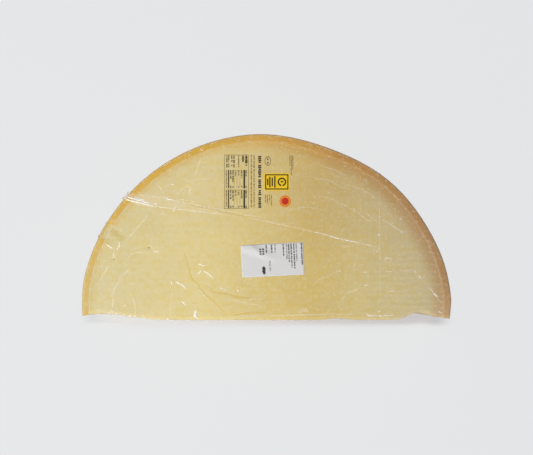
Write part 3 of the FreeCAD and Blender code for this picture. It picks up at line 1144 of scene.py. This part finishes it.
class Page:
    """Lays flat marks on a plane, in millimetres along a line of print and down the page."""

    def __init__(self, corner, reading_turn, height_at, dice):
        turn = Matrix.Rotation(reading_turn, 4, "Z")
        self.paper = Matrix.Translation(corner.to_3d()) @ turn @ Matrix.Scale(MM, 4)
        self.height_at = height_at
        self.dice = dice
        self.shells = {}

    def shell(self, ink):
        return self.shells.setdefault(ink, bmesh.new())

    def inks(self):
        """Each ink with its marks, whose faces all point up."""
        for ink, shell in self.shells.items():
            shell.normal_update()
            bmesh.ops.reverse_faces(shell, faces=[face for face in shell.faces if face.normal.z < 0])
            yield ink, shell

    def spot(self, along, down):
        """Matrix that puts a mark's middle at a place on the page."""
        return self.paper @ Matrix.Translation((along, -down, 0))

    def settle(self, vertices, layer):
        for vertex in vertices:
            vertex.co.z = self.height_at(vertex.co.x, vertex.co.y) + layer * LAYER

    def bar(self, ink, along, down, length, height, layer=0):
        """A filled bar that starts at a place and is centred on its line."""
        shell = self.shell(ink)
        place = self.spot(along + length / 2, down) @ Matrix.Diagonal((length, height, 1, 1))
        segments = max(1, round(length / CELL))
        made = bmesh.ops.create_grid(shell, x_segments=segments, y_segments=1, size=0.5, matrix=place)
        self.settle(made["verts"], layer)

    def box(self, ink, along, down, length, height, line, layer=0):
        """An outlined rectangle."""
        for edge in (0, height - line):
            self.bar(ink, along, down + edge + line / 2, length, line, layer)
        for edge in (0, length - line):
            self.bar(ink, along + edge, down + height / 2, line, height, layer)

    def disc(self, ink, along, down, radius, squash=1.0, layer=0, hole=0.0):
        """A filled disc or, with a hole, a ring."""
        shell = self.shell(ink)
        place = self.spot(along, down) @ Matrix.Diagonal((1, squash, 1, 1))
        made = bmesh.ops.create_circle(shell, cap_ends=not hole, segments=40, radius=radius, matrix=place)
        made = made["verts"]
        if hole:
            border = list({edge for vertex in made for edge in vertex.link_edges})
            drawn = bmesh.ops.extrude_edge_only(shell, edges=border)["geom"]
            inner = [part for part in drawn if isinstance(part, bmesh.types.BMVert)]
            share = hole / radius
            bmesh.ops.scale(shell, vec=(share, share, 1), space=place.inverted(), verts=inner)
            made = [*made, *inner]
        self.settle(made, layer)

    def words(self, ink, along, down, length, height, pitch=1.0, fill=0.76):
        """A line of small print as dashes grouped into words."""
        end = along + length
        while along < end - pitch:
            letters = self.dice.randint(2, 8)
            for _ in range(letters):
                if along + fill * pitch > end:
                    return
                tall = height * self.dice.choice((0.72, 0.72, 1.0))
                self.bar(ink, along, down, fill * pitch, tall)
                along += pitch
            along += 0.8 * pitch


TABLE_LENGTH = 62
TABLE_HEIGHT = 28
COLUMN = 21.2


def draw_table(page):
    """A table with a title block and two columns under thick bars."""
    fine, bold = "fine_ink", "ink"
    page.box(fine, 0, 0, TABLE_LENGTH, TABLE_HEIGHT, 0.5)
    page.words(bold, 1, 2.7, 12.8, 2.8, 1.5, 0.86)
    page.words(bold, 1, 6.5, 7.8, 2.5, 1.5, 0.86)
    page.words(fine, 1, 11.5, 13.5, 1.7)
    page.words(bold, 1, 16.8, 13.8, 1.8, 1.3, 0.84)
    page.words(bold, 1, 19.3, 8.2, 1.8, 1.3, 0.84)
    page.disc(bold, 12.3, 19.3, 0.7)
    for down in (22.9, 25.0):
        page.words(bold, 1, down, 8.4, 1.5)
        page.words(bold, 10.2, down, 4.8, 1.9, 0.9, 0.8)
    rows = (
        (2.9, bold, 9, 3),
        (8.0, bold, 9.5, 3),
        (11.6, fine, 7, 2.6),
        (15.0, fine, 8, 0),
        (18.0, bold, 13, 2.6),
        (20.6, bold, 10, 3),
    )
    for start in (17.5, 40.2):
        page.bar(bold, start, 5.0, COLUMN, 2.0)
        page.bar(bold, start, 23.1, COLUMN, 1.3)
        for down, ink, length, tail in rows:
            page.words(ink, start, down, length + page.dice.uniform(-1, 1), 1.7, 0.95)
            if tail:
                page.words(ink, start + COLUMN - tail, down, tail, 1.7, 0.95)
        for down in (10.0, 13.4, 16.6):
            page.bar(fine, start, down, COLUMN, 0.3)
        page.words(fine, start, 25.6, 20.5, 1.6)


HEADING_DOWN = -12.8
OVAL_DOWN = -22.0


def draw_film_text(page):
    """Lines of plain marks beside the table, a heading and a small oval mark."""
    for down in (-3.1, -6.3):
        page.words("fine_ink", 0, down, 61, 1.7, 1.05)
    along = 1.4
    for letters in (4, 7, 5, 3, 6):
        for _ in range(letters):
            tall = page.dice.choice((3.5, 3.5, 2.7))
            page.bar("ink", along, HEADING_DOWN, 1.6, tall)
            if page.dice.random() < 0.5:
                page.bar("ink", along + 0.6, HEADING_DOWN + 1.2, 1.3, 0.9)
            along += 2.08
        along += 2.0
    page.disc("fine_ink", 7.2, OVAL_DOWN, 5.3, 0.68, hole=4.4)
    for spot in (5.2, 9.2):
        page.disc("ink", spot, OVAL_DOWN, 1.0, 0.9)
    for i, length in enumerate((9.0, 10.6, 8.4, 12.8)):
        page.words("fine_ink", 46.2, -19.5 - 2.25 * i, length, 1.3, 0.9)
    for i, length in enumerate((11.0, 22.5, 17.0)):
        page.words("fine_ink", 1, -47.4 - 1.7 * i, length, 1.2, 0.9)


def draw_badge(page, along, down):
    """A plain yellow badge with an inset line, a wheel with a wedge cut out and four bars."""
    middle, hub = along + 10, down - 5.9
    page.bar("badge", along, down, 20, 29)
    page.box("badge_ink", along + 1.2, down - 13.4, 17.6, 26.8, 1.3, 1)
    page.disc("badge_ink", middle, hub, 5.0, layer=1, hole=3.3)
    page.disc("badge_ink", middle, hub, 1.5, layer=1)
    page.bar("badge", middle, hub, 6.2, 1.4, 2)
    for row, length in ((2.2, 13.4), (5.2, 10.2), (8.0, 12.2), (10.4, 7.4)):
        page.bar("badge_ink", middle - length / 2, down + row, length, 1.6, 1)


def draw_seal(page, along, down):
    """A plain round mark in orange and red."""
    page.disc("seal", along, down, 6.5)
    page.disc("seal_line", along, down, 5.3, layer=1, hole=4.7)
    page.disc("seal_heart", along, down, 3.9, layer=1)


def draw_label(page):
    """Plain marks on the label: lines, a short block of tall bars and a dark oval."""
    ink, grey = "label_ink", "label_grey"
    lines = (
        (2.2, 25, ink),
        (8.2, 21, grey),
        (11.0, 29, ink),
        (14.1, 28, ink),
        (16.9, 21, ink),
        (19.4, 18, grey),
        (23.1, 14, ink),
        (32.6, 9.6, grey),
        (36.6, 9.4, ink),
        (42.7, 10.4, ink),
    )
    for down, length, shade in lines:
        page.words(shade, 1.2, down, length, 1.8, 0.95, 0.84)
    page.words(grey, 19.6, 39.4, 12.6, 1.8, 1.1, 0.8)
    for down in (46.4, 49.6):
        for i in range(3):
            page.bar(ink, 5.2 + 2.7 * i, down, 1.7, 2.2)
    page.disc(ink, 30.3, 46.6, 4.9, 0.36)
    for spot, down in ((28.4, 45.3), (31.6, 48.0), (33.2, 45.6), (27.6, 47.9)):
        page.disc(ink, spot, down, 0.9)


# ---------------------------------------------------------------------------
# Operators


def group(context, name):
    return getattr(context.scene, "half_wheel_" + name)


class MakeCheese(bpy.types.Operator):
    """Makes the cheese inside the film"""

    bl_idname = "half_wheel.make_cheese"
    bl_label = "Make Cheese"

    def execute(self, context):
        sizes = group(context, "sizes")
        shape = Shape(sizes, sizes.film_gap)
        shell, level = half_disc_template(sizes.rings, sizes.layers)
        wrap_shape(shell, level, shape, sizes.layers, paste_relief, cheese_walls)
        material = cheese_material(sizes, group(context, "colours"))
        cheese = finish_piece(shell, "cheese", material)
        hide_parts("wrapped_cheese")
        return {"FINISHED"}


class MakeFilm(bpy.types.Operator):
    """Makes the film that clings to the cheese"""

    bl_idname = "half_wheel.make_film"
    bl_label = "Make Film"

    def execute(self, context):
        sizes = group(context, "sizes")
        shell, level = half_disc_template(sizes.film_rings, sizes.film_layers)
        wrap_shape(shell, level, Shape(sizes, 0.0), sizes.film_layers, film_relief, film_walls)
        film = finish_piece(shell, "film", film_material(sizes, group(context, "film")))
        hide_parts("wrapped_cheese")
        return {"FINISHED"}


class MakeCreases(bpy.types.Operator):
    """Makes the film's pleats and creases, with painted highlights on the bright folds and glints and painted
    shade at the foot of folds
    """

    bl_idname = "half_wheel.make_creases"
    bl_label = "Make Creases"

    def execute(self, context):
        self.look = group(context, "film")
        self.shape = Shape(group(context, "sizes"), 0.0)
        white = self.look.crease_white_and_highlight
        glints = edge_sparks(self.shape) + on_top(GLINTS)
        self.make_set("film_shades", on_top(FOLD_SHADES), self.look.fold_shade, 0.65, 0.1)
        self.make_set("film_hairlines", on_top(HAIRLINES), white, 0.5, 0.3)
        self.make_set("film_creases", on_top(FAINT_CREASES), white, 0.85, 0.35)
        self.make_set("film_folds", on_top(BRIGHT_CREASES), white, 1.5, 0.75)
        self.make_set("film_glints", glints, white, 3.6, 0.4)
        self.make_set("film_wall_creases", wall_creases(), white, 0.55, 0.4)
        self.make_pleats()
        return {"FINISHED"}

    def make_set(self, name, creases, colour, strength, dashes):
        """Lays one set of creases on the film, each as (face, points, width, height)."""
        shell = bmesh.new()
        uv_layer = shell.loops.layers.uv.new("run")
        for face, points, width, height in creases:
            add_ridge(shell, uv_layer, self.shape, face, points, width, height)
        finish_sheets(shell, name, crease_material(name, self.look, colour, strength, dashes))

    def make_pleats(self):
        """Lays the wide gathered folds on the top and down the side."""
        shell = bmesh.new()
        uv_layer = shell.loops.layers.uv.new("run")
        edges = [in_metres(line) for line in WIDE_PLEAT]
        add_band(shell, uv_layer, self.shape, "top", *edges, WIDE_PLEAT_RISE * MM)
        for *lines, rise in SIDE_BANDS:
            edges = [[Vector((angle, z * MM)) for angle, z in line] for line in lines]
            add_band(shell, uv_layer, self.shape, "side", *edges, rise * MM)
        finish_sheets(shell, "film_pleats", pleat_material(self.look))


TABLE_CORNER = Vector((-19.7, 190.4)) * MM


class PrintFilm(bpy.types.Operator):
    """Prints the film with a table, lines, a badge and a seal"""

    bl_idname = "half_wheel.print_film"
    bl_label = "Print Film"

    def execute(self, context):
        colours = group(context, "print")
        corner = AXIS.to_2d() + TABLE_CORNER
        page = Page(corner, -math.pi / 2, lambda x, y: PRINT_LEVEL, random.Random(5))
        draw_table(page)
        draw_film_text(page)
        draw_badge(page, 21.2, -32.4)
        draw_seal(page, 53.4, -42.0)
        for ink, shell in page.inks():
            cover = 0.85 if ink == "fine_ink" else 0.96
            material = plain_material("film_" + ink, getattr(colours, ink), 0.35, 0.03, cover)
            finish_piece(shell, "film_" + ink, material, False)
        return {"FINISHED"}


PAPER_LEVEL = PASTE_LEVEL + 0.15 * MM
LABEL_PRINT_LIFT = 0.08 * MM
LABEL_CELL = 1.5 * MM


class MakeLabel(bpy.types.Operator):
    """Makes the paper label with its print"""

    bl_idname = "half_wheel.make_label"
    bl_label = "Make Label"

    def execute(self, context):
        self.sizes = group(context, "label")
        self.colours = group(context, "print")
        self.make_paper()
        self.make_print()
        return {"FINISHED"}

    def height_at(self, x, y):
        """Height of the paper's top, with its slight waves."""
        local = Vector((x, y)) - (AXIS + LABEL_MIDDLE).to_2d()
        local.rotate(Matrix.Rotation(-self.sizes.turn, 2))
        ridge = bell(local.x * 0.40 + local.y - 4 * MM, 9 * MM) * (1 - smooth(-14 * MM, 12 * MM, local.x))
        fold = bell(local.x * 0.9 + local.y + 4 * MM, 5 * MM) * (1 - smooth(-24 * MM, -6 * MM, local.x))
        waves = 0.5 + 0.5 * ripple(local.x, local.y, 22 * MM, 13.0)
        lift = self.sizes.buckle * (0.9 * ridge + 0.3 * fold + 0.2 * waves)
        return PAPER_LEVEL + self.sizes.paper + lift

    def make_paper(self):
        """A rounded rectangle of paper, cut into small cells and laid on the film."""
        sizes = self.sizes
        shell = bmesh.new()
        place = Matrix.Diagonal((sizes.length, sizes.width, 1, 1))
        corners = bmesh.ops.create_grid(shell, x_segments=1, y_segments=1, size=0.5, matrix=place)["verts"]
        bmesh.ops.bevel(
            shell, geom=corners, offset=sizes.corner, affect="VERTICES", segments=5, profile=0.5, material=-1
        )
        for axis, span in ((Vector((1, 0, 0)), sizes.length), (Vector((0, 1, 0)), sizes.width)):
            cuts = int(span / LABEL_CELL)
            for i in range(1, cuts):
                middle = axis * (span * (i / cuts - 0.5))
                everything = [*shell.verts, *shell.edges, *shell.faces]
                bmesh.ops.bisect_plane(shell, geom=everything, plane_co=middle, plane_no=axis)
        spot = Matrix.Translation((AXIS + LABEL_MIDDLE).to_2d().to_3d())
        bmesh.ops.transform(shell, matrix=spot @ Matrix.Rotation(sizes.turn, 4, "Z"), verts=shell.verts)
        for vertex in shell.verts:
            vertex.co.z = self.height_at(vertex.co.x, vertex.co.y)
        bmesh.ops.recalc_face_normals(shell, faces=shell.faces)
        bmesh.ops.solidify(shell, geom=shell.faces, thickness=sizes.paper)
        bmesh.ops.recalc_face_normals(shell, faces=shell.faces)
        material = plain_material("label_paper", self.colours.label, 0.5, 0.02)
        paper = finish_piece(shell, "label_paper", material)
        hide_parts("label")

    def make_print(self):
        """Prints the paper, from the corner where its lines start."""
        sizes = self.sizes
        corner = Vector((sizes.length / 2, sizes.width / 2))
        corner.rotate(Matrix.Rotation(sizes.turn, 2))
        start = (AXIS + LABEL_MIDDLE).to_2d() + corner

        def print_height(x, y):
            return self.height_at(x, y) + LABEL_PRINT_LIFT

        page = Page(start, sizes.turn - math.pi / 2, print_height, random.Random(3))
        draw_label(page)
        for ink, shell in page.inks():
            cover = 0.55 if ink == "label_grey" else 0.9
            material = plain_material(ink, self.colours.label_ink, 0.5, 0.02, cover)
            finish_piece(shell, ink, material, False)


LAMP_SCALE = math.pi**2  # watts at one metre for full daylight on a facing surface
# Painted cooler tint for the floor's shadow by the cut
FLOOR_SHADOW_COOL_TINT = srgb(227, 231, 240)
CAMERA_ASIDE = (0.85 * MM, -0.15 * MM)


class MakeStudio(bpy.types.Operator):
    """Makes the floor, lamps and camera"""

    bl_idname = "half_wheel.make_studio"
    bl_label = "Make Studio"

    def execute(self, context):
        studio = group(context, "studio")
        self.make_floor(studio)
        self.make_world(context, studio)
        self.make_lamp("key", (-0.95, -0.80, 1.15), 0.6, studio.key_share, shadow=False)
        self.make_lamp("top", (0.02, 0.32, 2.3), 0.25, studio.top_share, mirrored=False)
        self.make_lamp("back_fill", (-1.2, 1.2, 0.8), 0.9, studio.fill_share, shadow=False)
        self.make_lamp("front_fill", (0.6, -1.6, 0.7), 0.9, studio.fill_share, shadow=False)
        self.make_camera(context, studio)
        return {"FINISHED"}

    def make_floor(self, studio):
        """A level floor that glows evenly, except in a strip under the cut's edge, which takes the real
        shadow and is painted cooler to cancel the warm light that the cheese throws there.
        """
        finish = Finish("floor")
        seen = finish.node("LightPath", output="Is Camera Ray")
        x, y, _ = finish.place()
        by_the_cut = finish.step(y, -13 * MM, -5 * MM) * finish.fall(y, 0.0, 50 * MM)
        by_the_cut = by_the_cut * finish.fall(x.math("ABSOLUTE"), 0.20, 0.225)
        cool = finish.mix(by_the_cut, tuple(studio.backdrop), FLOOR_SHADOW_COOL_TINT)
        paint = finish.node("BsdfDiffuse", None, {"Color": cool})
        glow = finish.node("Emission", None, {"Color": (*studio.backdrop, 1), "Strength": 1.0})
        share = seen * (studio.floor_glow - by_the_cut * studio.floor_glow)
        material = finish.end(finish.node("MixShader", None, {0: share, 1: paint, 2: glow}))
        ground = bmesh.new()
        bmesh.ops.create_grid(ground, x_segments=8, y_segments=8, size=4)
        add_mesh(ground, "floor", material)

    def make_world(self, context, studio):
        """An even pale sky that is plain to the camera and brighter to the film's shine."""
        finish = Finish("studio", "worlds")
        seen = finish.node("LightPath", output="Is Camera Ray")
        mirrored = finish.node("LightPath", output="Is Glossy Ray")
        span = {"Value": seen.math("MAXIMUM", mirrored), "To Min": studio.sky, "To Max": studio.gleam}
        sky = {"Color": (*studio.backdrop, 1), "Strength": finish.node("MapRange", None, span)}
        context.scene.world = finish.end(finish.node("Background", None, sky), "OutputWorld")

    def make_lamp(self, name, place, size, share, shadow=True, mirrored=True):
        """A round lamp that gives a share of full daylight on a level face at the cheese's middle."""
        way = Vector(place) - Vector((0, 0, PASTE_LEVEL))
        lamp = bpy.data.lights.new(name, "AREA")
        lamp.energy = share * LAMP_SCALE * way.length**3 / way.z
        lamp.shape = "DISK"
        lamp.size = size
        lamp.use_shadow = shadow
        holder = add_object(name, lamp)
        holder.location = place
        holder.visible_glossy = mirrored
        holder.rotation_euler = way.to_track_quat("Z", "Y").to_euler()

    def make_camera(self, context, studio):
        lens = bpy.data.cameras.new("camera")
        lens.lens = lens.sensor_width * studio.camera_rise / studio.view_width
        lens.clip_end = 20
        camera = add_object("camera", lens)
        camera.location = (*CAMERA_ASIDE, PASTE_LEVEL + studio.camera_rise)
        context.scene.camera = camera
        context.scene.view_settings.view_transform = "Standard"


class HalfWheelPanel(bpy.types.Panel):
    """Lists the sizes, colours and operators"""

    bl_label = "Half Wheel"
    bl_idname = "VIEW3D_PT_half_wheel"
    bl_space_type = "VIEW_3D"
    bl_region_type = "UI"
    bl_category = "Half Wheel"

    def draw(self, context):
        for name in GROUPS:
            box = self.layout.box()
            settings = group(context, name)
            for key in settings.__annotations__:
                box.prop(settings, key)
        for operator in OPERATORS:
            self.layout.operator(operator.bl_idname)


GROUPS = {
    "sizes": HalfWheelSizes,
    "label": LabelSizes,
    "colours": CheeseColours,
    "film": FilmLook,
    "print": PrintColours,
    "studio": StudioSet,
}
OPERATORS = (MakeCheese, MakeFilm, MakeCreases, PrintFilm, MakeLabel, MakeStudio)


def register():
    for kind in (*GROUPS.values(), *OPERATORS, HalfWheelPanel):
        bpy.utils.register_class(kind)
    for name, kind in GROUPS.items():
        setattr(bpy.types.Scene, "half_wheel_" + name, bpy.props.PointerProperty(type=kind))


def unregister():
    for name in GROUPS:
        delattr(bpy.types.Scene, "half_wheel_" + name)
    for kind in reversed((*GROUPS.values(), *OPERATORS, HalfWheelPanel)):
        bpy.utils.unregister_class(kind)


def main():
    register()
    for operator in OPERATORS:
        prefix, name = operator.bl_idname.split(".")
        getattr(getattr(bpy.ops, prefix), name)()


if __name__ == "__main__":
    main()
